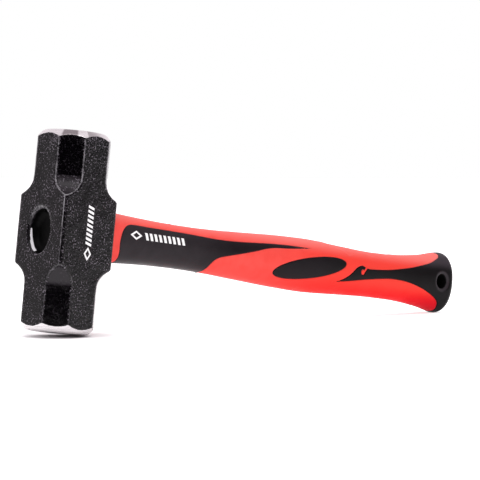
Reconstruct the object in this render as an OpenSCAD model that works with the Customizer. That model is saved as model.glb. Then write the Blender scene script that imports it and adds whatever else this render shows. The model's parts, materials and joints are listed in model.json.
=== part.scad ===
// Lump hammer: a forged double-faced head bonded onto an overmoulded fibreglass handle.
// It is drawn around the middle of the head, with the handle along +X and the head along Z,
// and then laid down the way it rests: on the rim of one striking face and the heel of the butt.
// The origin is the middle of that pose's footprint, on the floor.

/* [Head] */
// Length between the two striking faces
head_len = 122; // [114:1:130]
// Width of the square forging across its flats
head_w = 42; // [40:0.5:44]
// Corner chamfer at both ends, measured along a flat
corner_cut = 11.4; // [10.4:0.2:12.4]
// Distance from the middle of the head to where the chamfers reach full depth
relief_start = 32.5; // [31:0.5:35]
// Radius of the run-out that ends each chamfer
relief_r = 13; // [11:0.5:14]
// Radius of each ground striking face
face_r = 18.6; // [17:0.2:19]
// How far the rim of a striking face lies behind its flat middle
face_crown = 0.6; // [0.2:0.1:1]
// Height of the oval eye, along the head
eye_h = 30; // [28:0.5:31]
// Width of the oval eye
eye_w = 21; // [19:0.5:22]
// How far the resin lies below the mouth of the eye
resin_recess = 3.2; // [1:0.2:3.6]

/* [Handle] */
// Reach of the handle, from the flat of the head to the end of the butt
handle_len = 331.5; // [310:0.5:350]
// Height of the fibreglass rod
core_h = 19; // [17:0.5:19.5]
// Width of the fibreglass rod
core_w = 13; // [11:0.5:14]
// Thickness of the soft grip over the hard jacket
grip_skin = 2.4; // [2:0.1:2.6]

/* [Hang hole] */
// Radius of the hang hole through the butt
hang_r = 5; // [4:0.25:5.5]
// Radius of the dished rim around the hang hole
hang_rim_r = 7.6; // [7:0.2:8]
// Depth of the dished rim
hang_rim_depth = 1.4; // [0.6:0.2:1.6]

/* [Hidden] */

$fn = 72;
half_w = head_w / 2;
half_len = head_len / 2;
reach_past = 60; // longer than anything that it has to cut through

// Ground bevel behind each striking face
bevel_slope = 0.95; // gain in radius for each mm back from the rim
bevel_len = 6;
flat_r = 12;
rim_z = half_len - face_crown;
bevel_r = face_r + bevel_len * bevel_slope;
side_z = rim_z - (half_w - face_r) / bevel_slope; // where the bevel meets the middle of a flat

// Distance from the head's long axis to a corner chamfer
chamfer_dist = (head_w - corner_cut) / sqrt(2);

// Handle: [distance from the head, height, width, rise of the middle], for the nominal reach
nominal_len = 331.5;
stretch = handle_len / nominal_len;
stations = [
    [0, 33.1, 27, 0.2],
    [24, 29.8, 25.1, 0.4],
    [49, 27.8, 23.8, 0.4],
    [74, 27.2, 23.4, 0.3],
    [99, 28.1, 24.2, 0.2],
    [129, 30.9, 26.4, 0.1],
    [159, 33.7, 28.8, 0.1],
    [189, 34.9, 30, 0],
    [219, 32.8, 29, 0],
    [244, 30.8, 27.6, 0],
    [264, 30.7, 26.8, 0.2],
    [282, 31.5, 26.8, 0.4],
    [304, 35.6, 27.8, 0.8],
    [317, 40.2, 28.8, 1.1],
    [322, 41.9, 29, 1]
];
cap_len = nominal_len - 322; // rounded end of the butt
section_power = 2.3; // 2 is an ellipse, more is squarer
outer_sides = 24;
inner_sides = 16;
cap_angles = [18, 36, 54, 70, 84];

// Rod, hang hole
core_start = -13;
core_end = 300; // along the handle, short of the hang hole
hang_at = [314.4, 1.5];
dish_r = 40; // curvature of the resin's surface
dish_depth = 1.4;

// Windows that the grip leaves over the black jacket, as [along the handle, up], seen from the side
below = -30;
above = 30;
panel_upper = [
    [15, -13], [12.3, -4.3], [12.5, 1], [14.3, 5.4], [18.6, 8.8], [25, 9.7], [36, 9.5], [69, 9.1],
    [100, 8.2], [121, 8.9], [143, 10.3], [162, 10.9], [181.5, 10.9]
];
panel_lower = [
    [181.5, 10.9], [161.8, 8.9], [149, 8], [140, 6.6], [130.5, 4.1], [120, 1.6], [108.2, -1],
    [100.5, -2.8], [96.4, -4.5], [93.6, -7.2], [91.8, -10.9], [91, -13.4]
];
pad_at = [181.2, -1.8];
pad_half = [34.6, 6.8];
pad_turn = 10.2;
tail_upper = [
    [204, -9], [211.3, -7.1], [217.5, -4], [221.5, -1.2], [224.9, 1.8], [228.2, 3.6], [231.5, 4.4],
    [236, 3.5], [240, 2.8], [258, 4.1], [271.4, 6], [284, 8.2], [301.8, 12.6], [309.2, 15.5],
    [315.3, 18.7], [319, 24]
];
tail_lower = [
    [318.6, -19.5], [316.4, -16.2], [312.4, -12], [303, -7.8], [292, -4.6], [280, -2.4],
    [270, -1.7], [258.6, -1.9], [236.5, -4.4], [221, -6.8], [204, -9]
];
comma_at = [232.2, 0.1];
comma_r = 1.8;
stem_len = 6;
stem_w = 1.4;
stem_turn = 48;

// Point on a smooth curve through the rows of a list, at part t of the way from row i to row i + 1
function curve_at(rows, i, t) = let (
    last = len(rows) - 1,
    a = rows[max(i - 1, 0)],
    b = rows[i],
    c = rows[min(i + 1, last)],
    d = rows[min(i + 2, last)]
) (2 * b + (c - a) * t + (2 * a - 5 * b + 4 * c - d) * t * t
    + (3 * b - a - 3 * c + d) * t * t * t) / 2;

// Smooth curve through a list of points, with so many steps between each pair
function curve(rows, steps) = concat(
    [for (i = [0:len(rows) - 2], s = [0:steps - 1]) curve_at(rows, i, s / steps)],
    [rows[len(rows) - 1]]
);

// Distance from the middle of the head of a place along the handle
function along(u) = half_w + u * stretch;
function placed(points) = [for (p = points) [along(p[0]), p[1]]];

// Sections as [x, height, width, rise]: the length of the handle, then its rounded end
function body_sections(steps) = [for (s = curve(stations, steps)) [along(s[0]), s[1], s[2], s[3]]];
function cap_sections(last) = [
    for (a = cap_angles)
        [last[0] + cap_len * sin(a), last[1] * cos(a), last[2] * cos(a), last[3]]
];
outer_body = body_sections(2);
outer_sections = concat(outer_body, cap_sections(outer_body[len(outer_body) - 1]));
inner_sections = [
    for (s = body_sections(1)) [s[0], s[1] - 2 * grip_skin, s[2] - 2 * grip_skin, s[3]]
];

// Resting pose: the rim of the lower striking face and the lowest point of the butt touch the floor
function tilt_at(s) = atan((rim_z + s[3] - s[1] / 2) / (s[0] - face_r));
rest_tilt = min([for (s = outer_sections) tilt_at(s)]);
rest_x_min = -half_w * cos(rest_tilt) - side_z * sin(rest_tilt);
rest_x_max = max([
    for (s = outer_sections) s[0] * cos(rest_tilt) + (s[3] + s[1] / 2) * sin(rest_tilt)
]);
rest_lift = rim_z * cos(rest_tilt) + face_r * sin(rest_tilt);

module at_rest() {
    translate([-(rest_x_min + rest_x_max) / 2, 0, rest_lift])
        rotate([0, rest_tilt, 0])
            children();
}

// Power that keeps its sign, for a squared-off oval
function signed_pow(v, p) = sign(v) * pow(abs(v), p);
function ring(s, sides) = [
    for (i = [0:sides - 1])
        let (a = 360 * i / sides, p = 2 / section_power)
            [
                s[0],
                s[2] / 2 * signed_pow(cos(a), p),
                s[3] + s[1] / 2 * signed_pow(sin(a), p)
            ]
];

// Solid that follows a list of sections
module swept(sections, sides) {
    count = len(sections);
    points = [for (s = sections) each ring(s, sides)];
    first_cap = [[for (i = [0:sides - 1]) i]];
    last_cap = [[for (i = [sides - 1:-1:0]) (count - 1) * sides + i]];
    walls = [
        for (r = [0:count - 2], i = [0:sides - 1])
            let (
                j = (i + 1) % sides,
                a = r * sides + i,
                b = r * sides + j,
                c = a + sides,
                d = b + sides
            ) each [[a, c, b], [b, c, d]]
    ];
    polyhedron(points, concat(first_cap, walls, last_cap), convexity = 6);
}

// Oval bar along X, from one place to another
module oval_bar(from, to, height, width) {
    translate([from, 0, 0])
        rotate([0, 90, 0])
            linear_extrude(height = to - from)
                scale([height / 2, width / 2])
                    circle(r = 1);
}

// Outline in the side view, carried right through the handle
module through(outline_points) {
    rotate([90, 0, 0])
        linear_extrude(height = reach_past, center = true)
            polygon(outline_points);
}

module panel_window() {
    through(placed(concat(
        [[15, below]],
        curve(panel_upper, 3),
        curve(panel_lower, 3),
        [[91, below]]
    )));
}

module pad_window() {
    translate([along(pad_at[0]), 0, pad_at[1]])
        rotate([0, -pad_turn, 0])
            rotate([90, 0, 0])
                linear_extrude(height = reach_past, center = true)
                    scale([pad_half[0] * stretch, pad_half[1]])
                        circle(r = 1);
}

module tail_window() {
    difference() {
        through(placed(concat(
            curve(tail_upper, 3),
            [[319, above], [nominal_len + 5, above], [nominal_len + 5, below], [318.6, below]],
            curve(tail_lower, 3)
        )));
        translate([along(comma_at[0]), 0, comma_at[1]])
            rotate([90, 0, 0]) {
                cylinder(r = comma_r, h = reach_past, center = true);
                rotate([0, 0, stem_turn])
                    translate([0, -stem_w, -reach_past / 2])
                        cube([stem_len, stem_w, reach_past]);
            }
    }
}

module windows() {
    panel_window();
    pad_window();
    tail_window();
}

module hang_hole() {
    translate([along(hang_at[0]), 0, hang_at[1]])
        rotate([90, 0, 0]) {
            cylinder(r = hang_r, h = reach_past, center = true);
            for (side = [0, 1])
                mirror([0, 0, side])
                    hang_rim();
        }
}

// Cone that dishes the rim, sized to end at the surface of the butt
module hang_rim() {
    butt_half = 14.4;
    past = 2;
    widening = (hang_rim_r - hang_r) / hang_rim_depth;
    translate([0, 0, butt_half - hang_rim_depth])
        cylinder(
            r1 = hang_r,
            r2 = hang_rim_r + past * widening,
            h = hang_rim_depth + past
        );
}

// What is left of the forging inside both ground ends
module ground_ends() {
    rotate_extrude()
        polygon([
            [0, -half_len], [flat_r, -half_len], [face_r, -rim_z],
            [bevel_r, -rim_z + bevel_len], [head_w, -rim_z + bevel_len],
            [head_w, rim_z - bevel_len], [bevel_r, rim_z - bevel_len],
            [face_r, rim_z], [flat_r, half_len], [0, half_len]
        ]);
}

// Chamfer of one corner, with its run-out towards the middle of the head
module corner_relief() {
    translate([chamfer_dist, -half_w, relief_start])
        cube([head_w, head_w, head_len]);
    translate([chamfer_dist + relief_r, 0, relief_start])
        rotate([90, 0, 0])
            cylinder(r = relief_r, h = head_w, center = true);
}

module head() {
    color([0.11, 0.1, 0.11])
        at_rest()
            difference() {
                intersection() {
                    cube([head_w, head_w, head_len], center = true);
                    ground_ends();
                }
                for (corner = [45:90:315], end = [0, 1])
                    mirror([0, 0, end])
                        rotate([0, 0, corner])
                            corner_relief();
                oval_bar(-head_w, head_w, eye_h, eye_w);
            }
}

module eye_resin() {
    mouth = -half_w + resin_recess;
    color([0.02, 0.02, 0.02])
        at_rest()
            difference() {
                oval_bar(mouth, half_w, eye_h, eye_w);
                oval_bar(core_start, head_w, core_h, core_w);
                translate([mouth - dish_r + dish_depth, 0, 0])
                    sphere(r = dish_r);
            }
}

module fibreglass_core() {
    color([0.75, 0.7, 0.5])
        at_rest()
            oval_bar(core_start, along(core_end), core_h, core_w);
}

module inner_jacket() {
    color([0.16, 0.15, 0.16])
        at_rest()
            difference() {
                union() {
                    swept(inner_sections, inner_sides);
                    intersection() {
                        swept(outer_sections, outer_sides);
                        windows();
                    }
                }
                oval_bar(core_start, along(core_end), core_h, core_w);
                hang_hole();
            }
}

module outer_grip() {
    color([0.95, 0.25, 0.22])
        at_rest()
            difference() {
                swept(outer_sections, outer_sides);
                swept(inner_sections, inner_sides);
                windows();
            }
}

head();
eye_resin();
fibreglass_core();
inner_jacket();
outer_grip();
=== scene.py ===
"""Looks of the lump hammer: a painted forged head bonded onto a red and black overmoulded handle.

Every shape is drawn in the hammer's own frame, in millimetres: the origin is the middle of the head,
+X runs along the handle and +Z along the head. to_rest() lays it down where the CAD model rests.
"""
import json
import math

import bpy
import numpy as np
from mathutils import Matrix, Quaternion, Vector, noise


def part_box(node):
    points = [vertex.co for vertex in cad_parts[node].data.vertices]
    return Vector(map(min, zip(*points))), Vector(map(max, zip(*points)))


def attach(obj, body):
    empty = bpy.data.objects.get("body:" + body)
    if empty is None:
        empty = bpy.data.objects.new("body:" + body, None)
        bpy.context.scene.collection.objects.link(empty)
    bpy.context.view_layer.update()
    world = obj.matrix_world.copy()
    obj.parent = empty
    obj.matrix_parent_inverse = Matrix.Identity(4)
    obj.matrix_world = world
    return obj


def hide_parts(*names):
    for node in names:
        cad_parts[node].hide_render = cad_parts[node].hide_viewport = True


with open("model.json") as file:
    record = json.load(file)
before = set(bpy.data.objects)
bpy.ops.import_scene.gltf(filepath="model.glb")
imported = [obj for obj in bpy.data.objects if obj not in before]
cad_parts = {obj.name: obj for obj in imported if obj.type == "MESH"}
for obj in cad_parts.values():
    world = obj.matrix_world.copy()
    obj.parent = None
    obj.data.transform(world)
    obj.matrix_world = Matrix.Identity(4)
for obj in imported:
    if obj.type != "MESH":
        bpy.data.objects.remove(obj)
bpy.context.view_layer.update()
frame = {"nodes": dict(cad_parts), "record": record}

MM = 0.001

# ---------------------------------------------------------------- sizes, in millimetres

# Head
HALF_W = 21.0
HALF_LEN = 61.0
CHAMFER_DIST = (2 * HALF_W - 11.4) / math.sqrt(2)  # from the long axis to a corner chamfer
RELIEF_START = 32.5
RELIEF_R = 13.0
FACE_R = 18.6
FACE_CROWN = 0.6
RIM_Z = HALF_LEN - FACE_CROWN
BEVEL_SLOPE = 0.95
EYE = (9.3, 13.3)  # half width and half height of the eye's throat
EYE_AT = (0.7, -1.2)  # its middle, off the centre of the forging: low, under a broad lip

# Handle
HANG_AT = (335.4, 1.5)  # centre of the hang hole from the middle of the head
HANG_R = 5.0
DISH_R = 7.6
DISH_DEPTH = 1.4
BUTT_HALF = 14.4
STATIONS = np.array([  # distance from the head, height, width, rise of the middle
    [0, 33.1, 27, 0.2],
    [24, 29.8, 25.1, 0.4],
    [49, 27.8, 23.8, 0.4],
    [74, 27.2, 23.4, 0.3],
    [99, 28.1, 24.2, 0.2],
    [129, 30.9, 26.4, 0.1],
    [159, 33.7, 28.8, 0.1],
    [189, 34.9, 30, 0],
    [219, 32.8, 29, 0],
    [244, 30.8, 27.6, 0],
    [264, 30.7, 26.8, 0.2],
    [282, 31.5, 26.8, 0.4],
    [304, 35.6, 27.8, 0.8],
    [317, 40.2, 28.8, 1.1],
    [322, 41.9, 29, 1],
])
CAP_LEN = 9.5
SECTION_POWER = 2.3
GRIP_SKIN = 2.4
CORE_HALF = (6.5, 9.5)
CORE_START = -13.0
CORE_END = 321.0

# Windows of the grip over the black jacket, as [along the handle, up], seen from the side
PANEL_UPPER = [
    [15, -13], [12.3, -4.3], [12.5, 1], [14.3, 5.4], [18.6, 8.8], [25, 9.7], [36, 9.5], [69, 9.1],
    [100, 8.2], [121, 8.9], [143, 10.3], [162, 10.9], [181.5, 10.9],
]
PANEL_LOWER = [
    [181.5, 10.9], [161.8, 8.9], [149, 8], [140, 6.6], [130.5, 4.1], [120, 1.6], [108.2, -1],
    [100.5, -2.8], [96.4, -4.5], [93.6, -7.2], [91.8, -10.9], [91, -13.4],
]
PAD_AT = (181.2, -1.8)
PAD_HALF = (34.6, 6.8)
PAD_TURN = math.radians(10.2)
TAIL_UPPER = [
    [204, -9], [211.3, -7.1], [217.5, -4], [221.5, -1.2], [224.9, 1.8], [228.2, 3.6], [231.5, 4.4],
    [236, 3.5], [240, 2.8], [258, 4.1], [271.4, 6], [284, 8.2], [301.8, 12.6], [309.2, 15.5],
    [315.3, 18.7], [319, 24],
]
TAIL_LOWER = [
    [318.6, -19.5], [316.4, -16.2], [312.4, -12], [303, -7.8], [292, -4.6], [280, -2.4],
    [270, -1.7], [258.6, -1.9], [236.5, -4.4], [221, -6.8], [204, -9],
]
FAR = 30.0  # past the top or bottom of the handle
PAST_BUTT = 340.0
COMMA_AT = (232.2, 0.1)
COMMA_R = 1.8
STEM = (6.0, 1.4)
STEM_TURN = math.radians(48)

# ---------------------------------------------------------------- placing in the resting pose

low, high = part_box("head")
HEAD_CENTRE = (low + high) / 2
HANG_MOUNT = Vector(next(m["pos_m"] for m in frame["record"]["mounts"] if m["name"] == "hang_hole"))
REACH = HANG_MOUNT - HEAD_CENTRE
REST_TILT = math.atan2(HANG_AT[1], HANG_AT[0]) - math.atan2(REACH.z, REACH.x)


def to_rest(points):
    """Points of the hammer's own frame, in millimetres, as resting points in metres."""
    points = np.asarray(points, float)
    c, s = math.cos(REST_TILT), math.sin(REST_TILT)
    x, y, z = points[:, 0], points[:, 1], points[:, 2]
    turned = np.c_[x * c + z * s, y, z * c - x * s]
    return turned * MM + np.array(HEAD_CENTRE)


def from_rest(points):
    """Resting points in metres as points of the hammer's own frame, in millimetres."""
    points = (np.asarray(points, float) - np.array(HEAD_CENTRE)) / MM
    c, s = math.cos(REST_TILT), math.sin(REST_TILT)
    x, y, z = points[:, 0], points[:, 1], points[:, 2]
    return np.c_[x * c - z * s, y, z * c + x * s]


def make_piece(name, node, slot, points, faces, masks):
    """Mesh piece that stands for a CAD node. masks are shader attributes: one number for each point."""
    mesh = bpy.data.meshes.new(name)
    mesh.from_pydata(to_rest(points).tolist(), [], [tuple(int(i) for i in f) for f in faces])
    mesh.validate()
    mesh.shade_smooth()
    own = mesh.attributes.new("own", "FLOAT_VECTOR", "POINT")
    own.data.foreach_set("vector", np.asarray(points, np.float32).ravel())
    for mask, values in masks.items():
        attribute = mesh.attributes.new(mask, "FLOAT", "POINT")
        attribute.data.foreach_set("value", np.asarray(values, np.float32))
    piece = bpy.data.objects.new(name, mesh)
    bpy.context.scene.collection.objects.link(piece)
    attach(piece, "root")
    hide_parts(node)
    return piece


# ---------------------------------------------------------------- fields and curves

def smooth_max(a, b, width):
    """Larger of two fields with a rounded edge between them, and how near that edge a point is."""
    h = np.clip(0.5 + 0.5 * (a - b) / width, 0, 1)
    return b + (a - b) * h + width * h * (1 - h), 4 * h * (1 - h)


def smooth_step(low_end, high_end, values):
    """Smooth change from 0 at low_end to 1 at high_end, which may be the lower of the two."""
    t = np.clip((values - low_end) / (high_end - low_end), 0, 1)
    return t * t * (3 - 2 * t)


def rough(points, size, seed):
    """Noise from -1 to 1 at each point, with bumps of about that size in millimetres."""
    shift = Vector((seed * 17.3, seed * 5.1, seed * 9.7))
    return np.array([noise.noise(Vector(p) / size + shift) for p in points])


def curve_at(rows, index, t):
    """Point on a smooth curve through rows, at part t of the way from row index to the next."""
    last = len(rows) - 1
    a, b = rows[np.maximum(index - 1, 0)], rows[index]
    c, d = rows[np.minimum(index + 1, last)], rows[np.minimum(index + 2, last)]
    t = t[:, None]
    return (2 * b + (c - a) * t + (2 * a - 5 * b + 4 * c - d) * t ** 2
            + (3 * b - a - 3 * c + d) * t ** 3) / 2


def curve(rows, steps):
    """Smooth curve through rows, with that many steps from each row to the next."""
    rows = np.asarray(rows, float)
    index = np.repeat(np.arange(len(rows) - 1), steps)
    t = np.tile(np.arange(steps) / steps, len(rows) - 1)
    return np.vstack([curve_at(rows, index, t), rows[-1:]])


def outline_distance(points, outline):
    """Distance of 2-D points from a closed outline, negative inside it."""
    a = np.asarray(outline, float)
    ab = np.roll(a, -1, axis=0) - a
    length = np.maximum((ab ** 2).sum(1), 1e-12)
    result = np.empty(len(points))
    for start in range(0, len(points), 4000):
        p = points[start:start + 4000, None, :]
        ap = p - a
        t = np.clip((ap * ab).sum(2) / length, 0, 1)
        near = np.sqrt(((ap - t[..., None] * ab) ** 2).sum(2).min(1))
        above = a[:, 1] > p[..., 1]
        crosses = above != np.roll(above, -1, axis=1)
        rise = np.where(np.abs(ab[:, 1]) < 1e-12, 1e-12, ab[:, 1])
        where = a[:, 0] + ab[:, 0] * (p[..., 1] - a[:, 1]) / rise
        inside = (crosses & (p[..., 0] < where)).sum(1) % 2 == 1
        result[start:start + 4000] = np.where(inside, -near, near)
    return result


# ---------------------------------------------------------------- head

RIDGE_ROUND = 2.2
RELIEF_ROUND = 0.8
RIM_ROUND = 1.2
PAINT_ROUND = 0.35  # edge between the painted sides and the ground ends
EYE_ROUND = (1.6, 2.0, 3.4)  # lip of the eye at its bottom, sides and top
HEAD_VOXEL = 0.56
WORN_RIDGE = (0.45, 0.85, 1.7, 2.3)  # beside a corner: where its worn line starts, is full, fades, ends
UNEVEN = ((0.10, 6.0, 1), (0.045, 1.9, 2))  # bumps of the paint: height, size and seed
WORN_EDGE = (0.12, 2.4, 3)
WORN_LIP = (0.3, 3.0, 4)
HEAD_INSET = 0.05  # leaves room for the bumps inside the CAD box
TINY = 1e-9  # as good as zero


def eye_field(y, z, half=EYE):
    """Distance from the wall of the eye, positive inside it."""
    a, b = half
    e = np.sqrt((y / a) ** 2 + (z / b) ** 2) + TINY
    steep = np.sqrt((y / a ** 2) ** 2 + (z / b ** 2) ** 2) / e + TINY
    return (1 - e) / steep


def head_fields(points):
    """Rounded surface of the head as a distance field, with masks of its edges, ground ends and lip."""
    x, y, z = np.abs(points).T
    r = np.hypot(x, y)
    corner = (x + y) / math.sqrt(2)
    relief = np.where(
        z > RELIEF_START,
        corner - CHAMFER_DIST,
        RELIEF_R - np.hypot(corner - CHAMFER_DIST - RELIEF_R, z - RELIEF_START),
    )
    square, _ = smooth_max(x - HALF_W, y - HALF_W, RIDGE_ROUND)
    painted, crease = smooth_max(square, relief, RELIEF_ROUND)
    cone = (r - FACE_R - BEVEL_SLOPE * (RIM_Z - z)) / math.hypot(1, BEVEL_SLOPE)
    crown = z - HALF_LEN + FACE_CROWN * (r / FACE_R) ** 2
    ends, _ = smooth_max(cone, crown, RIM_ROUND)
    body, _ = smooth_max(painted, ends, PAINT_ROUND)
    width = np.interp(points[:, 2], (-EYE[1], 0, EYE[1]), EYE_ROUND)
    whole, lip = smooth_max(body, eye_field(points[:, 1] - EYE_AT[0], points[:, 2] - EYE_AT[1]), width)
    start, full, fading, end = WORN_RIDGE
    on_ridge = smooth_step(start, full, x - y) * smooth_step(end, fading, x - y)
    on_ridge = on_ridge * smooth_step(-0.6, -0.05, square - painted)
    edge = np.maximum(on_ridge, crease)
    return whole, edge, ends - painted, lip


def settle(points, rounds):
    """Points moved onto the surface of the head, and its normals there."""
    step = 0.01
    for _ in range(rounds):
        value = head_fields(points)[0]
        slope = np.empty_like(points)
        for axis in range(3):
            shift = np.zeros(3)
            shift[axis] = step
            slope[:, axis] = (head_fields(points + shift)[0] - head_fields(points - shift)[0]) / (2 * step)
        steep = np.maximum((slope ** 2).sum(1), 0.25)
        points = points - np.clip(value / steep, -1, 1)[:, None] * slope
    return points, slope / np.linalg.norm(slope, axis=1)[:, None]


def remeshed(node, voxel):
    """Even quads over a CAD node, in the hammer's own frame."""
    source = frame["nodes"][node].data.copy()
    own = from_rest([v.co for v in source.vertices])
    source.vertices.foreach_set("co", own.astype(np.float32).ravel())
    holder = bpy.data.objects.new("remesh", source)
    bpy.context.scene.collection.objects.link(holder)
    modifier = holder.modifiers.new("remesh", "REMESH")
    modifier.mode = "VOXEL"
    modifier.voxel_size = voxel
    graph = bpy.context.evaluated_depsgraph_get()
    even = bpy.data.meshes.new_from_object(holder.evaluated_get(graph))
    points = np.array([v.co for v in even.vertices], float)
    edges = np.array([e.vertices[:] for e in even.edges])
    faces = [tuple(p.vertices) for p in even.polygons]
    bpy.data.objects.remove(holder)
    bpy.data.meshes.remove(even)
    bpy.data.meshes.remove(source)
    return points, edges, faces


def relaxed(points, edges, share):
    """Points moved part of the way to the middle of their neighbours."""
    total = np.zeros_like(points)
    count = np.zeros(len(points))
    for a, b in ((0, 1), (1, 0)):
        np.add.at(total, edges[:, a], points[edges[:, b]])
        np.add.at(count, edges[:, a], 1)
    return points + (total / count[:, None] - points) * share


def make_head():
    """Forged head: even quads on the rounded field, then paint bumps and worn edges."""
    points, edges, faces = remeshed("head", HEAD_VOXEL)
    points, _ = settle(points, 5)
    for _ in range(3):
        points = relaxed(points, edges, 0.5)
        points, normals = settle(points, 2)
    _, edge, ground, lip = head_fields(points)
    painted = 1 - smooth_step(-0.8, 0.2, ground)
    uneven = sum(height * rough(points, size, seed) for height, size, seed in UNEVEN)
    height, size, seed = WORN_EDGE
    worn = height * edge * (rough(points, size, seed) - 0.2)
    height, size, seed = WORN_LIP
    worn = worn + height * lip * rough(points, size, seed)
    flat_contact = smooth_step(HALF_LEN - 1.5, HALF_LEN - 0.9, np.abs(points[:, 2]))
    raised = (uneven + worn) * painted * (1 - flat_contact) - HEAD_INSET
    shaped = points + normals * raised[:, None]
    return make_piece(
        "forged_head", "head", "painted_forging", shaped, faces,
        {"edge": edge, "ground": ground, "lip": lip},
    )


# ---------------------------------------------------------------- resin in the eye

RESIN_AROUND = 144
RESIN_RINGS = 25
RESIN_DEPTH = 7.2  # its top below the face of the forging
RESIN_DISH = 0.8
RESIN_CLIMB = 4.6  # how far it runs up the wall of the eye
RESIN_REACH = 0.9  # how far from the wall the climb fades
RESIN_BEAD = 0.7
RESIN_OVERLAP = 0.06  # into the wall, so that no gap shows


def make_resin():
    """Bonding resin: a dished top that climbs the wall of the eye, around the pocket of the rod."""
    around = RESIN_AROUND
    turn = np.linspace(0, 2 * math.pi, around, endpoint=False)
    cos, sin = np.cos(turn), np.sin(turn)
    wall = (EYE[0] + RESIN_OVERLAP, EYE[1] + RESIN_OVERLAP)
    climb_noise = np.array([noise.noise(Vector((2.2 * c, 2.2 * s, 4.0))) for c, s in zip(cos, sin)])
    jag = np.array([noise.noise(Vector((7 * c, 7 * s, 1.0))) for c, s in zip(cos, sin)])
    upper = smooth_step(0.0, 0.5, sin)
    climb = RESIN_CLIMB - 0.5 * sin + 0.5 * climb_noise + 0.9 * jag * upper * (cos > 0)
    beads = smooth_step(0.3, 0.5, cos) * smooth_step(0.25, 0.0, sin) * smooth_step(-0.99, -0.9, sin)

    rings, masks = [], []
    reflection_width = 0.3 + 0.3 * smooth_step(0.2, -0.6, sin)
    for t in np.sin(np.linspace(0, math.pi / 2, RESIN_RINGS + 1))[1:]:
        inward = (1 - t) * wall[0]
        x = -HALF_W + RESIN_DEPTH - RESIN_DISH * t ** 2 - climb * np.exp(-inward / RESIN_REACH)
        x = x - beads * RESIN_BEAD * np.exp(-((inward - RESIN_REACH) / 0.8) ** 2)
        rings.append(np.c_[x, EYE_AT[0] + wall[0] * t * cos, EYE_AT[1] + wall[1] * t * sin])
        # pale strip along the lower wall for the colour: painted reflection
        masks.append(beads * np.exp(-(inward / reflection_width) ** 4))
    mouth = np.c_[EYE_AT[0] + wall[0] * cos, EYE_AT[1] + wall[1] * sin]
    core = np.c_[CORE_HALF[0] * cos, CORE_HALF[1] * sin]
    for x, outline in (
        (0.0, mouth), (HALF_W, mouth),
        (HALF_W, core), (0.0, core), (CORE_START, core), (CORE_START, core * 0.5),
    ):
        rings.append(np.c_[np.full(around, x), outline])
        masks.append(np.zeros(around))
    middle = [[-HALF_W + RESIN_DEPTH, *EYE_AT], [CORE_START, 0, 0]]
    points = np.vstack([middle[:1], *rings, middle[1:]])
    mask = np.concatenate([[0], *masks, [0]])
    faces = []
    last = len(points) - 1
    for j in range(around):
        k = (j + 1) % around
        faces.append((0, 1 + k, 1 + j))
        for i in range(len(rings) - 1):
            a, b = 1 + i * around, 1 + (i + 1) * around
            faces.append((a + j, a + k, b + k, b + j))
        end = 1 + (len(rings) - 1) * around
        faces.append((last, end + j, end + k))
    return make_piece("poured_resin", "eye_resin", "resin", points, faces, {"reflection_strip": mask})


# ---------------------------------------------------------------- handle

LENGTHWISE = 0.85  # length of a quad along the handle
AROUND = 112
CAP_RINGS = 18
CURVE_STEPS = 10
TIP_RISE = 0.02  # last point of the butt, past its last ring
AT_HOLE = 0.3  # an open edge this near to the hang hole belongs to its mouth
ON_LEVEL = 1e-3  # a point this near to a level counts as on it


def window_distance(x, z):
    """Signed distance in the side view from the edge of the windows: positive on the red grip."""
    points = np.c_[x - HALF_W, z]
    panel = outline_distance(points, np.vstack([
        [[PANEL_UPPER[0][0], -FAR]], curve(PANEL_UPPER, CURVE_STEPS),
        curve(PANEL_LOWER, CURVE_STEPS)[1:], [[PANEL_LOWER[-1][0], -FAR]],
    ]))
    c, s = math.cos(PAD_TURN), math.sin(PAD_TURN)
    dx, dz = points[:, 0] - PAD_AT[0], points[:, 1] - PAD_AT[1]
    pad = -eye_field(dx * c + dz * s, dz * c - dx * s, PAD_HALF)
    tail = outline_distance(points, np.vstack([
        curve(TAIL_UPPER, CURVE_STEPS), [[TAIL_UPPER[-1][0], FAR], [PAST_BUTT, FAR]],
        [[PAST_BUTT, -FAR], [TAIL_LOWER[0][0], -FAR]], curve(TAIL_LOWER, CURVE_STEPS)[:-1],
    ]))
    dx, dz = points[:, 0] - COMMA_AT[0], points[:, 1] - COMMA_AT[1]
    dot = np.hypot(dx, dz) - COMMA_R
    c, s = math.cos(STEM_TURN), math.sin(STEM_TURN)
    along, across = dx * c + dz * s, dz * c - dx * s
    stem = np.maximum(
        np.abs(along - STEM[0] / 2) - STEM[0] / 2, np.abs(across + STEM[1] / 2) - STEM[1] / 2
    )
    tail = np.maximum(tail, -np.minimum(dot, stem))
    return np.minimum(np.minimum(panel, pad), tail)


def handle_sections():
    """Rows of x, half height, half width and rise, from the head to the tip of the butt."""
    spans = np.diff(STATIONS[:, 0])
    rows = []
    for i, span in enumerate(spans):
        t = np.arange(0, 1, 1 / round(span / LENGTHWISE))
        rows.append(curve_at(STATIONS, np.full(len(t), i), t))
    body = np.vstack([*rows, STATIONS[-1:]])
    turn = np.linspace(0, math.pi / 2, CAP_RINGS + 1)[1:-1]
    last = body[-1]
    cap = np.c_[
        last[0] + CAP_LEN * np.sin(turn), last[1] * np.cos(turn), last[2] * np.cos(turn),
        np.full(len(turn), last[3]),
    ]
    rows = np.vstack([body, cap])
    return np.c_[HALF_W + rows[:, 0], rows[:, 1] / 2, rows[:, 2] / 2, rows[:, 3]]


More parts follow.
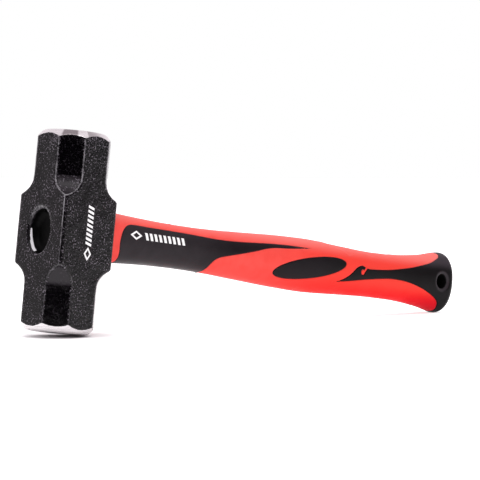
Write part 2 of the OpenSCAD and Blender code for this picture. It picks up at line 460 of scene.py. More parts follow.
def handle_grid():
    """Outer surface of the handle as rows of points and normals, and its faces: quads, closed by a fan at
    the tip.
    """
    sections = handle_sections()
    turn = np.linspace(0, 2 * math.pi, AROUND, endpoint=False)
    power = 2 / SECTION_POWER
    side = np.sign(np.cos(turn)) * np.abs(np.cos(turn)) ** power
    up = np.sign(np.sin(turn)) * np.abs(np.sin(turn)) ** power
    x = np.repeat(sections[:, :1], AROUND, axis=1)
    y = sections[:, 2:3] * side
    z = sections[:, 3:4] + sections[:, 1:2] * up
    points = np.stack([x, y, z], axis=2)
    along = np.gradient(points, axis=0)
    around = np.roll(points, -1, axis=1) - np.roll(points, 1, axis=1)
    normals = np.cross(along, around)
    normals /= -np.linalg.norm(normals, axis=2)[..., None]
    tip = [sections[-1, 0] + TIP_RISE, 0, sections[-1, 3]]
    rows = np.vstack([np.concatenate([points, normals], axis=2).reshape(-1, 6), [[*tip, 1, 0, 0]]])
    faces = []
    for i in range(len(sections) - 1):
        a, b = i * AROUND, (i + 1) * AROUND
        for j in range(AROUND):
            k = (j + 1) % AROUND
            faces.append((a + j, b + j, b + k, a + k))
    end = (len(sections) - 1) * AROUND
    faces += [(end + j, len(rows) - 1, end + (j + 1) % AROUND) for j in range(AROUND)]
    return rows, faces


def split(rows, faces, field):
    """Splits every face where field changes sign, so that no face lies on both sides."""
    field = np.where(np.abs(field) < ON_LEVEL, 0.0, field)
    made, extra, result = {}, [], []

    def crossing(a, b):
        """Point where the edge a-b crosses the level, made only once per edge."""
        key = (min(a, b), max(a, b))
        if key not in made:
            t = field[key[0]] / (field[key[0]] - field[key[1]])
            made[key] = len(rows) + len(extra)
            extra.append(rows[key[0]] * (1 - t) + rows[key[1]] * t)
        return made[key]

    values = field.tolist()
    for face in faces:
        near = [values[i] for i in face]
        if min(near) >= 0 or max(near) <= 0:
            result.append(face)
            continue
        for sign in (1, -1):
            corners = []
            for i, a in enumerate(face):
                b = face[(i + 1) % len(face)]
                if values[a] * sign >= 0:
                    corners.append(a)
                if values[a] * values[b] < 0:
                    corners.append(crossing(a, b))
            if len(corners) >= 3:
                result.append(tuple(corners))
    if extra:
        rows = np.vstack([rows, extra])
    field = np.concatenate([field, np.zeros(len(extra))])
    return rows, result, field


def side_of(faces, field):
    """For each face, whether it lies where field is positive."""
    return [sum(field[i] for i in face) > 0 for face in faces]


def border_edges(faces):
    """Directed edges that only one of these faces has."""
    seen = set()
    for face in faces:
        for i, a in enumerate(face):
            seen.add((a, face[(i + 1) % len(face)]))
    return [edge for edge in seen if (edge[1], edge[0]) not in seen]


def compact(points, faces, masks):
    """The same mesh without the points that no face uses."""
    used = np.unique([i for face in faces for i in face])
    place = np.full(len(points), -1)
    place[used] = np.arange(len(used))
    faces = [tuple(place[list(face)]) for face in faces]
    return points[used], faces, {k: np.asarray(v)[used] for k, v in masks.items()}


EDGE_BAND = 0.45  # width of the rounded edge on both sides of a colour border
GROOVE = 0.28
GRIP_WAVE = (0.05, 9.0, 5)  # unevenness of the moulding: height, size and seed
HOLE_EDGE = 0.35  # width of the rounded mouth of the hang hole
DISH_FADE = 1.2  # width over which the dished ring ends
SHOULDER_FLATS = np.array([  # lower edge of the shallow flats behind the thumb: along the handle, up
    [200, 17], [216, 12.2], [219.5, 9], [236, 13.2], [247, 11], [257, 11], [268, 14], [282, 19],
])
FLAT_DEPTH = 0.35
FLASH = ((84.5, 1), (111.8, -1), (319.5, -1))  # specks of flash on the mould line: along, top or bottom
FLASH_HEIGHT = 0.5
FLASH_R = 0.8


def hang_distance(rows):
    """Distance in the side view from the middle of the hang hole."""
    return np.hypot(rows[:, 0] - HANG_AT[0], rows[:, 2] - HANG_AT[1])


def flats_mask(points):
    """0 to 1 over the shallow flats on both upper shoulders."""
    along, up = SHOULDER_FLATS.T
    edge = np.interp(points[:, 0] - HALF_W, along, up, FAR, FAR)
    return smooth_step(0, 1.0, points[:, 2] - edge)


def flash_height(points):
    """Height of the specks of flash above the surface."""
    height = np.zeros(len(points))
    for along, side in FLASH:
        away = np.hypot(points[:, 0] - along, points[:, 1]) / FLASH_R
        height += FLASH_HEIGHT * np.exp(-away ** 2) * (points[:, 2] * side > 0)
    return height


def dish_mask(rows):
    """1 on the dished ring around the hang hole."""
    reach = hang_distance(rows)
    inner = smooth_step(HANG_R, HANG_R + HOLE_EDGE, reach)
    return inner * smooth_step(DISH_R + 0.2, DISH_R - DISH_FADE, reach)


def shaped_surface(rows, border):
    """Outer surface with the dished hang hole, border grooves, shoulder flats and unevenness."""
    points, normals = rows[:, :3].copy(), rows[:, 3:6]
    normals = normals / np.linalg.norm(normals, axis=1)[:, None]
    reach = hang_distance(rows)
    dish = BUTT_HALF - DISH_DEPTH + (reach - HANG_R) * DISH_DEPTH / (DISH_R - HANG_R)
    dished, _ = smooth_max(np.abs(points[:, 1]), dish, 0.3)
    lowered = np.abs(points[:, 1]) + dish - dished
    points[:, 1] = np.sign(points[:, 1]) * np.where(reach < DISH_R + 3, lowered, np.abs(points[:, 1]))
    groove = GROOVE * (1 - smooth_step(0, EDGE_BAND, np.abs(border))) ** 1.5
    height, size, seed = GRIP_WAVE
    wave = height * rough(points, size, seed)
    raised = wave - groove - FLAT_DEPTH * flats_mask(points) + flash_height(points)
    return points + normals * raised[:, None], normals


def make_handle():
    """Grip and jacket, cut along the window borders out of one surface, so that they meet exactly."""
    rows, faces = handle_grid()
    rows, faces, field = split(rows, faces, window_distance(rows[:, 0], rows[:, 2]))
    exact = np.abs(field) < TINY
    for level in (EDGE_BAND, -EDGE_BAND, EDGE_BAND * 0.4, -EDGE_BAND * 0.4):
        rows, faces, _ = split(rows, faces, window_distance(rows[:, 0], rows[:, 2]) - level)
    for level in (HANG_R, HANG_R + HOLE_EDGE, DISH_R - DISH_FADE, DISH_R):
        rows, faces, _ = split(rows, faces, hang_distance(rows) - level)
    exact = np.concatenate([exact, np.zeros(len(rows) - len(exact), bool)])
    border = np.where(exact, 0.0, window_distance(rows[:, 0], rows[:, 2]))
    hole = hang_distance(rows) - HANG_R
    solid = side_of(faces, np.where(np.abs(hole) < ON_LEVEL, 0, hole))
    faces = [face for face, kept in zip(faces, solid) if kept]
    red = side_of(faces, border)
    outer, normals = shaped_surface(rows, border)
    inner = rows[:, :3] - normals * GRIP_SKIN
    masks = {
        "inside": np.repeat([0, 1], len(rows)),
        # shoulder flats, where the grip gets a painted highlight
        "highlighted": np.tile(flats_mask(rows), 2),
        "dish": np.tile(dish_mask(rows), 2),
    }
    points = np.vstack([outer, inner])
    count = len(rows)
    red_faces = [face for face, r in zip(faces, red) if r]
    black_faces = [face for face, r in zip(faces, red) if not r]

    walls = [(b, a, a + count, b + count) for a, b in border_edges(red_faces)]
    under = [tuple(i + count for i in reversed(face)) for face in red_faces]
    grip = make_piece(
        "rubber_grip", "outer_grip", "red_rubber",
        *compact(points, red_faces + under + walls, masks),
    )
    jacket = make_jacket(points, count, red_faces, black_faces, masks)
    return grip, jacket


def make_jacket(points, count, red_faces, black_faces, masks):
    """Black hard plastic: flush in the windows and one skin lower under the red."""
    lowered = [tuple(i + count for i in face) for face in red_faces]
    faces = black_faces + lowered
    edges = border_edges(faces)
    hole_edges, front_edges, step_edges = [], [], []
    from_hole = np.abs(hang_distance(points) - HANG_R)
    for a, b in edges:
        if max(points[a][0], points[b][0]) < HALF_W + 1e-6:
            front_edges.append((a, b))
        elif max(from_hole[a], from_hole[b]) < AT_HOLE:
            hole_edges.append((a, b))
        elif a < count:
            step_edges.append((a, b))
    faces = faces + [(b, a, a + count, b + count) for a, b in step_edges]
    extra = []

    # Hang hole: each edge of the mouth is joined to the middle ring, straight across the handle
    middle = {}
    for a, b in hole_edges:
        for i in (a, b):
            if i not in middle:
                middle[i] = len(points) + len(extra)
                extra.append([points[i][0], 0, points[i][2]])
        faces.append((b, a, middle[a], middle[b]))

    # Front face and the pocket of the rod
    loops = {}
    for a, b in front_edges:
        for i in (a, b):
            if i not in loops:
                angle = math.atan2(points[i][2] / CORE_HALF[1], points[i][1] / CORE_HALF[0])
                y, z = CORE_HALF[0] * math.cos(angle), CORE_HALF[1] * math.sin(angle)
                loops[i] = len(points) + len(extra)
                extra += [[HALF_W, y, z], [CORE_END, y, z]]
        faces.append((b, a, loops[a], loops[b]))
        faces.append((loops[b], loops[a], loops[a] + 1, loops[b] + 1))
    tip = len(points) + len(extra)
    extra.append([CORE_END, 0, 0])
    faces += [(loops[b] + 1, loops[a] + 1, tip) for a, b in front_edges]

    points = np.vstack([points, extra])
    masks = {k: np.concatenate([v, np.ones(len(extra)) * (k == "inside")]) for k, v in masks.items()}
    return make_piece("plastic_jacket", "inner_jacket", "black_plastic", *compact(points, faces, masks))


# ---------------------------------------------------------------- camera, floor and light

CAMERA_AZIMUTH = -45.43
CAMERA_ELEVATION = 1.93
CAMERA_DISTANCE = 1.66456
CAMERA_LENS = 195.0
SENSOR_WIDTH = 36.0
CAMERA_ROLL = 0.15
CAMERA_TARGET = Vector((HEAD_CENTRE.x + 0.14875, 0, 0.05438))


def direction(azimuth, elevation):
    """Unit vector from the object towards an azimuth and elevation in degrees."""
    a, e = math.radians(azimuth), math.radians(elevation)
    return Vector((math.sin(a) * math.cos(e), -math.cos(a) * math.cos(e), math.sin(e)))


def make_camera():
    """Long lens, low and in front of the corner of the head."""
    data = bpy.data.cameras.new("camera")
    data.lens = CAMERA_LENS
    data.sensor_width = SENSOR_WIDTH
    data.clip_start = 0.05
    data.clip_end = 50
    camera = bpy.data.objects.new("camera", data)
    bpy.context.scene.collection.objects.link(camera)
    out = direction(CAMERA_AZIMUTH, CAMERA_ELEVATION)
    camera.location = CAMERA_TARGET + out * CAMERA_DISTANCE
    turned = out.to_track_quat("Z", "Y") @ Quaternion((0, 0, 1), math.radians(CAMERA_ROLL))
    camera.rotation_euler = turned.to_euler()
    bpy.context.scene.camera = camera


WHITE = (1, 1, 1, 1)
STUDIO_LEVEL = 0.95
STUDIO_TINT = (1, 0.935, 0.975, 1)
DARK_LEVEL = 0.004
DARK_SIDES = (100, 72)  # angle from the camera's side where the dark starts and where it is full
DARK_TURN = 9  # how far the middle of the dark lies to the right of the camera
DARK_TOP = (26, 31)  # elevation where the dark is still full and where it ends
LIGHTS_AIM = Vector((0, 0, 0.06))
# Softboxes: name, azimuth, elevation, distance, size, power, whether reflections show it
SOFTBOXES = (
    ("top", 0, 89, 1.3, (1.6, 1.6), 9.0, False),
    ("front", CAMERA_AZIMUTH, 50, 1.3, (1.2, 0.7), 4.6, True),
)


def world_range(tree, value, start, end, low_end, high_end):
    """Smooth change of a shader value from low_end at start to high_end at end."""
    node = tree.nodes.new("ShaderNodeMapRange")
    node.interpolation_type = "SMOOTHSTEP"
    node.inputs["From Min"].default_value = start
    node.inputs["From Max"].default_value = end
    node.inputs["To Min"].default_value = low_end
    node.inputs["To Max"].default_value = high_end
    tree.links.new(value, node.inputs["Value"])
    return node.outputs["Result"]


def make_world():
    """White studio, dark behind the camera up to DARK_TOP, as in front of a light tent."""
    world = bpy.data.worlds.new("studio")
    bpy.context.scene.world = world
    world.use_nodes = True
    tree = world.node_tree
    background = tree.nodes["Background"]
    place = tree.nodes.new("ShaderNodeTexCoord")
    facing = tree.nodes.new("ShaderNodeVectorMath")
    facing.operation = "DOT_PRODUCT"
    facing.inputs[1].default_value = direction(CAMERA_AZIMUTH + DARK_TURN, 0)
    tree.links.new(place.outputs["Generated"], facing.inputs[0])
    upward = tree.nodes.new("ShaderNodeSeparateXYZ")
    tree.links.new(place.outputs["Generated"], upward.inputs[0])
    start, full = (math.cos(math.radians(angle)) for angle in DARK_SIDES)
    behind = world_range(tree, facing.outputs["Value"], start, full, 0, 1)
    full, end = (math.sin(math.radians(angle)) for angle in DARK_TOP)
    below = world_range(tree, upward.outputs["Z"], full, end, 1, 0)
    dark = tree.nodes.new("ShaderNodeMath")
    dark.operation = "MULTIPLY"
    tree.links.new(behind, dark.inputs[0])
    tree.links.new(below, dark.inputs[1])
    opening = world_range(tree, dark.outputs[0], 0, 1, STUDIO_LEVEL, DARK_LEVEL)
    path = tree.nodes.new("ShaderNodeLightPath")
    level = tree.nodes.new("ShaderNodeMix")
    tree.links.new(path.outputs["Is Camera Ray"], level.inputs["Factor"])
    tree.links.new(opening, level.inputs[2])
    level.inputs[3].default_value = 1.0
    tree.links.new(level.outputs[0], background.inputs["Strength"])
    tint = tree.nodes.new("ShaderNodeMix")
    tint.data_type = "RGBA"
    tree.links.new(path.outputs["Is Camera Ray"], tint.inputs[0])
    tint.inputs[6].default_value = STUDIO_TINT
    tint.inputs[7].default_value = WHITE
    tree.links.new(tint.outputs[2], background.inputs["Color"])


def make_softbox(name, azimuth, elevation, distance, size, power, glossy):
    """Rectangular light that faces the object."""
    data = bpy.data.lights.new(name, "AREA")
    data.shape = "RECTANGLE"
    data.size, data.size_y = size
    data.energy = power
    light = bpy.data.objects.new(name, data)
    bpy.context.scene.collection.objects.link(light)
    out = direction(azimuth, elevation)
    light.location = LIGHTS_AIM + out * distance
    light.rotation_euler = out.to_track_quat("Z", "Y").to_euler()
    light.visible_camera = False
    light.visible_glossy = glossy


FLOOR_FRONT = 0.9  # the floor ends there, before the camera
FLOOR_FAR = 9.0
FLOOR_GLOW = (0.012, 0.06, 0.6)  # from the head: where the glow starts, where it is full; its strength
FLOOR_COLOUR = (0.96, 0.96, 0.96, 1)


def make_floor():
    """Pale translucent sheet, lit from below except close to the head."""
    front = direction(CAMERA_AZIMUTH, 0)
    side = front.cross(Vector((0, 0, 1)))
    corners = [
        front * FLOOR_FRONT - side * FLOOR_FAR, front * FLOOR_FRONT + side * FLOOR_FAR,
        side * FLOOR_FAR - front * FLOOR_FAR, -side * FLOOR_FAR - front * FLOOR_FAR,
    ]
    mesh = bpy.data.meshes.new("floor")
    mesh.from_pydata([tuple(c) for c in corners], [], [(3, 2, 1, 0)])
    floor = bpy.data.objects.new("floor", mesh)
    bpy.context.scene.collection.objects.link(floor)
    material = bpy.data.materials.new("floor")
    material.use_nodes = True
    tree = material.node_tree
    bsdf = tree.nodes["Principled BSDF"]
    bsdf.inputs["Base Color"].default_value = FLOOR_COLOUR
    bsdf.inputs["Roughness"].default_value = 0.9
    bsdf.inputs["Specular IOR Level"].default_value = 0.0
    bsdf.inputs["Emission Color"].default_value = WHITE
    place = tree.nodes.new("ShaderNodeTexCoord")
    away = tree.nodes.new("ShaderNodeVectorMath")
    away.operation = "DISTANCE"
    away.inputs[1].default_value = (HEAD_CENTRE.x, 0, 0)
    tree.links.new(place.outputs["Object"], away.inputs[0])
    start, full, strength = FLOOR_GLOW
    glow = world_range(tree, away.outputs["Value"], start, full, 0, strength)
    tree.links.new(glow, bsdf.inputs["Emission Strength"])
    mesh.materials.append(material)


# ---------------------------------------------------------------- materials

class Shader:
    """A node material under construction. Vectors of its textures are the hammer's own millimetres."""

    def __init__(self, name):
        self.material = bpy.data.materials.new(name)
        self.material.use_nodes = True
        self.tree = self.material.node_tree
        self.bsdf = self.tree.nodes["Principled BSDF"]
        self.own = self.mask("own", "Vector")

    def add(self, kind, inputs, output=0, **settings):
        """Adds a node with its inputs and settings, and gives one of its outputs."""
        node = self.tree.nodes.new(kind)
        for key, value in settings.items():
            setattr(node, key, value)
        for key, value in inputs.items():
            self.join(node.inputs[key], value)
        return node.outputs[output]

    def join(self, socket, value):
        """Links a socket to another one, or sets it to a plain value."""
        if isinstance(value, bpy.types.NodeSocket):
            self.tree.links.new(value, socket)
        else:
            socket.default_value = value

    def mask(self, name, output="Fac"):
        """One of the piece's masks, or another of its attributes."""
        return self.add("ShaderNodeAttribute", {}, output, attribute_name=name)

    def axis(self, name):
        """One of the hammer's own coordinates."""
        return self.add("ShaderNodeSeparateXYZ", {0: self.own}, name)

    def math(self, operation, a, b=0.0, c=0.0):
        """Result of a Math node."""
        return self.add("ShaderNodeMath", {0: a, 1: b, 2: c}, operation=operation)

    def ramp(self, value, start, end, low_end=0.0, high_end=1.0):
        """Smooth change from low_end at start to high_end at end."""
        return self.add(
            "ShaderNodeMapRange",
            {"Value": value, "From Min": start, "From Max": end, "To Min": low_end, "To Max": high_end},
            interpolation_type="SMOOTHSTEP",
        )

    def mix(self, share, a, b):
        """Colour that goes from a to b as share goes from 0 to 1."""
        return self.add("ShaderNodeMix", {0: share, 6: a, 7: b}, 2, data_type="RGBA")

    def stretched(self, x, y, z):
        """The hammer's own coordinates, stretched along each axis."""
        return self.add("ShaderNodeVectorMath", {0: self.own, 1: (x, y, z)}, operation="MULTIPLY")

    def noise(self, scale, detail=2.0, roughness=0.5, vector=None):
        """Noise over the hammer's own millimetres, or over another vector."""
        inputs = {"Vector": vector or self.own, "Scale": scale, "Detail": detail, "Roughness": roughness}
        return self.add("ShaderNodeTexNoise", inputs)

    def bump(self, height, distance, strength=1.0, under=None):
        """Bump of that depth in millimetres."""
        inputs = {"Height": height, "Distance": distance * MM, "Strength": strength}
        if under is not None:
            inputs["Normal"] = under
        return self.add("ShaderNodeBump", inputs)

    def finish(self, **sockets):
        """Sets the shader's sockets, named with _ for a space."""
        for name, value in sockets.items():
            self.join(self.bsdf.inputs[name.replace("_", " ")], value)
        return self.material


def paint_on(piece, material):
    """Gives the piece that one material."""
    piece.data.materials.clear()
    piece.data.materials.append(material)


PRINT_WHITE = (0.85, 0.85, 0.85, 1)
# Printed marks: middle and reach of the diamond, start, end and number of the bars, half their height
HEAD_MARK = {"diamond": (-12.4, 4.0), "bars": (-7.8, 16.5, 9), "half": 2.3}
PANEL_MARK = {"diamond": (46.4, 5.0), "bars": (53.6, 89.2, 9), "half": 2.2}
PANEL_MARK_UP = 3.4

PAINT_DEEP = (0.0005, 0.0003, 0.0006, 1)
PAINT_GRAIN = (0.0024, 0.0016, 0.0028, 1)
# paler paint for the run-outs of the corner reliefs: a painted reflection on their concave faces
PAINT_RUNOUT_REFLECTION = (0.016, 0.0135, 0.0165, 1)
PAINT_FLECK = (0.125, 0.110, 0.130, 1)
# light paint for worn edges, also used for painted highlights on the edges and on the lip of the eye
PAINT_WORN_AND_LIT = (0.22, 0.21, 0.225, 1)
STEEL_DULL = (0.68, 0.65, 0.66, 1)
STEEL_BRIGHT = (0.86, 0.83, 0.84, 1)
# darker steel for flats of the upper bevel: painted reflection
STEEL_DARK_REFLECTION = (0.22, 0.19, 0.20, 1)
# Painted dark reflections on flats of the upper bevel: turn about the head where each starts, is full,
# fades and ends; strength
DARK_REFLECTION_FLATS = ((-2.70, -2.62, -2.24, -2.17, 0.9), (-1.93, -1.89, -1.85, -1.20, 0.65))

RESIN_BLACK = (0.001, 0.001, 0.001, 1)
RESIN_CLOUD = (0.003, 0.003, 0.003, 1)
# pale strip on the resin: painted reflection
RESIN_REFLECTION = (0.85, 0.84, 0.87, 1)

FIBRE_DARK = (0.45, 0.36, 0.16, 1)
FIBRE_PALE = (0.78, 0.70, 0.46, 1)

PLASTIC_DARK = (0.0165, 0.0130, 0.0155, 1)
PLASTIC_PALE = (0.0220, 0.0175, 0.0205, 1)
# darker from about the pad on, and darker still towards the butt: partly painted shade
PLASTIC_PAD = (0.0070, 0.0045, 0.0062, 1)
PLASTIC_TAIL = (0.0012, 0.0004, 0.0009, 1)
# paler black on top: painted highlight
PLASTIC_TOP_HIGHLIGHT = (0.032, 0.025, 0.031, 1)
# paler dished ring around the hang hole: painted highlight
PLASTIC_DISH_HIGHLIGHT = (0.030, 0.025, 0.029, 1)
# near black for the hang hole: painted shade
PLASTIC_HOLE_SHADE = (0.0004, 0.0004, 0.0004, 1)

RED_DARK = (0.76, 0.064, 0.052, 1)
RED_PALE = (0.80, 0.080, 0.066, 1)
RED_REAR = (0.78, 0.046, 0.032, 1)
# paler red on top and on the shoulder flats: painted highlight
RED_TOP_HIGHLIGHT = (0.80, 0.165, 0.145, 1)
# deeper red below and darker at the heel: painted shade
RED_BELOW_SHADE = (0.72, 0.004, 0.006, 1)
RED_HEEL_SHADE = (0.50, 0.001, 0.010, 1)


def printed_mark(m, along, across, side, diamond, bars, half):
    """1 on a plain mark of a hollow diamond and slanted bars. side is 1 on the printed side."""
    centre, reach = diamond
    start, end, count = bars
    share = m.math("DIVIDE", m.math("ABSOLUTE", m.math("SUBTRACT", along, centre)), reach)
    ring = m.math("ADD", share, m.math("DIVIDE", m.math("ABSOLUTE", across), half * 1.25))
    ring = m.ramp(m.math("ABSOLUTE", m.math("SUBTRACT", ring, 0.8)), 0.26, 0.18)
    slanted = m.math("MULTIPLY_ADD", across, 0.3, along)
    place = m.math("MULTIPLY", m.math("SUBTRACT", slanted, start), count / (end - start))
    bar = m.ramp(m.math("ABSOLUTE", m.math("SUBTRACT", m.math("FRACT", place), 0.5)), 0.31, 0.25)
    inside = m.math("MULTIPLY", m.ramp(place, -0.02, 0.02), m.ramp(place, count + 0.02, count - 0.02))
    inside = m.math("MULTIPLY", inside, m.ramp(m.math("ABSOLUTE", across), half + 0.08, half - 0.08))
    return m.math("MULTIPLY", side, m.math("MAXIMUM", ring, m.math("MULTIPLY", bar, inside)))


def dark_reflection_flats(m):
    """1 where flats on the struck end's upper bevel are painted darker: a painted reflection."""
    turn = m.math("ARCTAN2", m.axis("Y"), m.axis("X"))
    flats = 0.0
    for start, full, fading, end, strength in DARK_REFLECTION_FLATS:
        flat = m.math("MULTIPLY", m.ramp(turn, start, full), m.ramp(turn, end, fading))
        flats = m.math("MULTIPLY_ADD", flat, strength, flats)
    out = m.math("MULTIPLY_ADD", m.axis("X"), m.axis("X"), m.math("POWER", m.axis("Y"), 2.0))
    on_bevel = m.ramp(m.math("SQRT", out), FACE_R - 0.9, FACE_R - 0.2)
    return m.math("MULTIPLY", m.math("MULTIPLY", flats, on_bevel), m.ramp(m.axis("Z"), 0.0, 10.0))


def worn_and_lit_paint(m, speck):
    """How much of the paint is light: worn along the edges, stronger towards the top partly as painted
    highlight, and a painted highlight on the upper lip of the eye and along its rim on the -Y side.
    """
    patchy = m.math("MULTIPLY", m.math("SUBTRACT", speck, 0.5), 1.3)
    worn_and_lit_edges = m.ramp(m.math("ADD", m.mask("edge"), patchy), 0.6, 1.0)
    worn_and_lit_edges = m.math("MULTIPLY", worn_and_lit_edges, m.ramp(m.noise(0.22), 0.3, 0.6, 0.25, 1.0))
    # edges lighter towards the top of the head: partly painted highlight
    worn_and_lit_edges = m.math("MULTIPLY", worn_and_lit_edges, m.ramp(m.axis("Z"), -22.0, 20.0, 0.35, 1.2))
    lip = m.mask("lip")
    # upper part of the lip of the eye painted light: painted highlight
    highlighted = m.math("MULTIPLY", m.ramp(lip, 0.45, 0.95), m.ramp(m.axis("Z"), 4.0, 11.0))
    highlighted = m.math("MULTIPLY", highlighted, m.ramp(speck, 0.35, 0.6))
    # lip of the eye on the -Y side painted light: painted highlight
    rim = m.math("MULTIPLY", m.ramp(lip, 0.7, 0.95), m.ramp(m.axis("Y"), -3.0, -7.5))
    highlighted = m.math("MAXIMUM", highlighted, m.math("MULTIPLY", rim, 0.5))
    return m.math("MAXIMUM", m.math("MULTIPLY", worn_and_lit_edges, 0.8), m.math("MULTIPLY", highlighted, 0.6))


def runouts_and_cheeks(m):
    """Masks of the run-outs of the corner reliefs, and of the cheeks and upper run-outs, where flecks and
    bumps are full.
    """
    reach = m.math("MAXIMUM", m.math("ABSOLUTE", m.axis("X")), m.math("ABSOLUTE", m.axis("Y")))
    cheek = m.ramp(reach, HALF_W - 1.2, HALF_W - 0.4)
    near_waist = m.ramp(m.math("ABSOLUTE", m.axis("Z")), RELIEF_START + 0.9, RELIEF_START - 0.9)
    runout = m.math("MULTIPLY", m.math("SUBTRACT", 1.0, cheek), near_waist)
    upper = m.math("MULTIPLY", runout, m.ramp(m.axis("Z"), 10.0, 20.0))
    return runout, m.math("MAXIMUM", cheek, upper)


def paint_colour(m, speck, runout, cheeks_and_upper_runouts):
    """Black paint with its flecks, worn edges and printed mark, painted paler on the run-outs as a
    reflection, with painted highlights along the edges and on the lip of the eye.
    """
    spread = m.math("ADD", m.noise(1.0, 1.5), m.ramp(m.noise(0.10), 0.3, 0.7, -0.05, 0.03))
    spread = m.math("ADD", spread, m.ramp(m.axis("Z"), 42.0, 60.0, 0.0, 0.07))
    # flecks faint off the cheeks and upper run-outs, which keeps the corner facets dark: partly painted
    # shade
    fleck = m.math("MULTIPLY", m.ramp(spread, 0.56, 0.70), m.ramp(cheeks_and_upper_runouts, 0, 1, 0.10, 1.0))
    paint = m.mix(m.ramp(speck, 0.45, 0.72), PAINT_DEEP, PAINT_GRAIN)
    # run-outs painted paler: painted reflection
    paint = m.mix(runout, paint, PAINT_RUNOUT_REFLECTION)
    paint = m.mix(fleck, paint, PAINT_FLECK)
    paint = m.mix(worn_and_lit_paint(m, speck), paint, PAINT_WORN_AND_LIT)
    side = m.ramp(m.axis("Y"), 1.2 - HALF_W, 0.6 - HALF_W)
    return m.mix(printed_mark(m, m.axis("Z"), m.axis("X"), side, **HEAD_MARK), paint, PRINT_WHITE)


def painted_forging():
    """Textured black paint, thin and light along the edges, partly as painted highlight, over ends that
    are ground bright, with darker flats on the upper bevel as painted reflection.
    """
    m = Shader("painted_forging")
    speck = m.noise(0.80, 3.0, 0.6)
    grain = m.noise(2.2, 2.0)
    rings = m.noise(1.0, 3.0, 0.6, m.stretched(0.12, 0.12, 3.0))
    ragged = m.math("MULTIPLY", m.math("SUBTRACT", m.noise(0.6), 0.5), 0.5)
    bare = m.ramp(m.math("ADD", m.mask("ground"), ragged), -0.12, 0.02)
    painted = m.math("SUBTRACT", 1.0, bare)
    runout, cheeks_and_upper_runouts = runouts_and_cheeks(m)
    steel = m.mix(m.ramp(rings, 0.3, 0.7), STEEL_DULL, STEEL_BRIGHT)
    # darker steel on flats of the upper bevel: painted reflection
    steel = m.mix(dark_reflection_flats(m), steel, STEEL_DARK_REFLECTION)
    steel_rough = m.ramp(rings, 0.3, 0.7, 0.22, 0.38)
    cloudy = m.ramp(m.noise(0.13, 2.0), 0.3, 0.7, 0.11, 0.17)
    paint_rough = m.math("MULTIPLY", painted, m.math("MULTIPLY_ADD", grain, 0.06, cloudy))
    texture = m.math("ADD", m.math("MULTIPLY", speck, 0.8), m.math("MULTIPLY", grain, 0.2))
    depth = m.math("MULTIPLY", painted, m.ramp(cheeks_and_upper_runouts, 0, 1, 0.35, 1.0))
    return m.finish(
        Base_Color=m.mix(bare, paint_colour(m, speck, runout, cheeks_and_upper_runouts), steel),
        Roughness=m.math("MULTIPLY_ADD", bare, steel_rough, paint_rough),
        Metallic=bare,
        Normal=m.bump(m.math("MULTIPLY", depth, texture), 0.24, 1.0, m.bump(rings, 0.02)),
        Specular_IOR_Level=0.20,
    )


def poured_resin():
    """Glossy black resin, with a pale strip along the lower wall where it ran thin, painted as a
    reflection of the light.
    """
    m = Shader("resin")
    cloud = m.noise(0.5, 2.0)
    ragged = m.math("MULTIPLY", m.math("SUBTRACT", m.noise(0.9), 0.5), 0.2)
    reflection_strip = m.ramp(m.math("ADD", m.mask("reflection_strip"), ragged), 0.35, 0.65)
    return m.finish(
        Base_Color=m.mix(reflection_strip, m.mix(cloud, RESIN_BLACK, RESIN_CLOUD), RESIN_REFLECTION),
        Roughness=m.ramp(cloud, 0.3, 0.7, 0.28, 0.4),
        Normal=m.bump(m.noise(1.4), 0.05),
        Specular_IOR_Level=0.04,
    )


def fibreglass():
    """Pultruded glass fibre in pale resin: fine streaks along the rod."""
    m = Shader("fibreglass")
    place = m.add("ShaderNodeTexCoord", {}, "Object")
    along = m.add("ShaderNodeVectorMath", {0: place, 1: (40, 2500, 2500)}, operation="MULTIPLY")
    streak = m.noise(1.0, 4.0, 0.6, along)
    return m.finish(
        Base_Color=m.mix(streak, FIBRE_DARK, FIBRE_PALE),
        Roughness=m.ramp(streak, 0.3, 0.7, 0.35, 0.55),
        Normal=m.bump(streak, 0.05),
    )


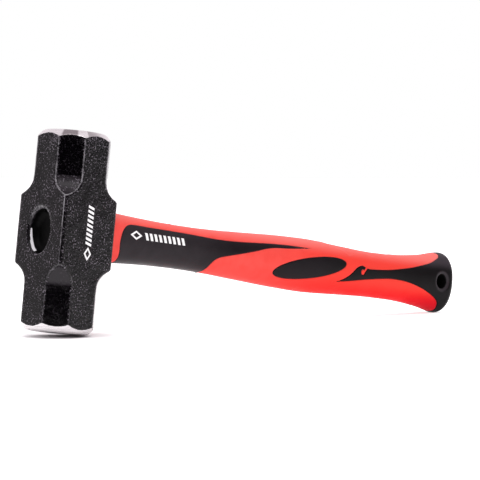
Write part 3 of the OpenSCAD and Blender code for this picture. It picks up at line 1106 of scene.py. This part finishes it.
def black_plastic():
    """Hard black plastic with a fine moulded grain and a printed mark, darker towards the butt partly as
    painted shade, paler on top and on the dished ring as painted highlight, and a hang hole painted near
    black as shade.
    """
    m = Shader("black_plastic")
    grain = m.noise(2.6, 3.0, 0.6)
    cloud = m.noise(0.12, 3.0, 0.55)
    shaded_inside = m.ramp(m.mask("inside"), 0.0, 0.05)
    black = m.mix(m.ramp(cloud, 0.3, 0.7), PLASTIC_DARK, PLASTIC_PALE)
    # darker towards the butt: partly painted shade
    black = m.mix(m.ramp(m.axis("X"), 85.0, 140.0), black, PLASTIC_PAD)
    black = m.mix(m.ramp(m.axis("X"), 200.0, 240.0), black, PLASTIC_TAIL)
    # top painted paler: painted highlight
    black = m.mix(m.ramp(m.axis("Z"), 8.0, 15.0), black, PLASTIC_TOP_HIGHLIGHT)
    # dished ring painted paler: painted highlight
    black = m.mix(m.mask("dish"), black, PLASTIC_DISH_HIGHLIGHT)
    # inner surfaces and the hang hole painted near black: painted shade
    black = m.mix(shaded_inside, black, PLASTIC_HOLE_SHADE)
    side = m.ramp(m.axis("Y"), -7.2, -8.0)
    up = m.math("SUBTRACT", m.axis("Z"), PANEL_MARK_UP)
    mark = printed_mark(m, m.axis("X"), up, side, **PANEL_MARK)
    roughness = m.math("MULTIPLY_ADD", grain, 0.1, m.ramp(cloud, 0.3, 0.7, 0.30, 0.40))
    return m.finish(
        Base_Color=m.mix(mark, black, PRINT_WHITE),
        Roughness=m.math("MAXIMUM", roughness, m.math("MULTIPLY", shaded_inside, 0.95)),
        Normal=m.bump(grain, 0.03),
        Specular_IOR_Level=0.08,
    )


def red_rubber():
    """Soft red grip: matt, a little mottled, painted paler on top and on the shoulder flats as a
    highlight, and deeper below and at the heel as painted shade.
    """
    m = Shader("red_rubber")
    grain = m.noise(2.2, 3.0, 0.6)
    cloud = m.noise(0.09, 3.0, 0.55)
    red = m.mix(m.ramp(cloud, 0.3, 0.7), RED_DARK, RED_PALE)
    red = m.mix(m.ramp(m.axis("X"), 150.0, 230.0), red, RED_REAR)
    # top and shoulder flats painted paler: painted highlight
    flats_highlight = m.math("MULTIPLY", m.mask("highlighted"), 0.45)
    red = m.mix(m.math("MAXIMUM", m.ramp(m.axis("Z"), 7.0, 17.0), flats_highlight), red, RED_TOP_HIGHLIGHT)
    rearward = m.ramp(m.axis("X"), 130.0, 300.0, 0.25, 1.0)
    # underside painted deeper towards the butt: painted shade
    red = m.mix(m.math("MULTIPLY", m.ramp(m.axis("Z"), -3.0, -15.0), rearward), red, RED_BELOW_SHADE)
    # heel painted darker: painted shade
    heel = m.math("MULTIPLY", m.ramp(m.axis("X"), 270.0, 335.0), m.ramp(m.axis("Z"), -6.0, -17.0))
    return m.finish(
        Base_Color=m.mix(heel, red, RED_HEEL_SHADE),
        Roughness=m.math("MULTIPLY_ADD", grain, 0.1, m.ramp(cloud, 0.3, 0.7, 0.44, 0.54)),
        Normal=m.bump(grain, 0.03),
        Specular_IOR_Level=0.05,
        Sheen_Weight=0.02,
        Sheen_Roughness=0.4,
    )


# ---------------------------------------------------------------- the scene

make_camera()
make_world()
for softbox in SOFTBOXES:
    make_softbox(*softbox)
make_floor()
paint_on(make_head(), painted_forging())
paint_on(make_resin(), poured_resin())
grip, jacket = make_handle()
paint_on(grip, red_rubber())
paint_on(jacket, black_plastic())
paint_on(frame["nodes"]["fibreglass_core"], fibreglass())
bpy.context.scene.view_settings.view_transform = "Standard"
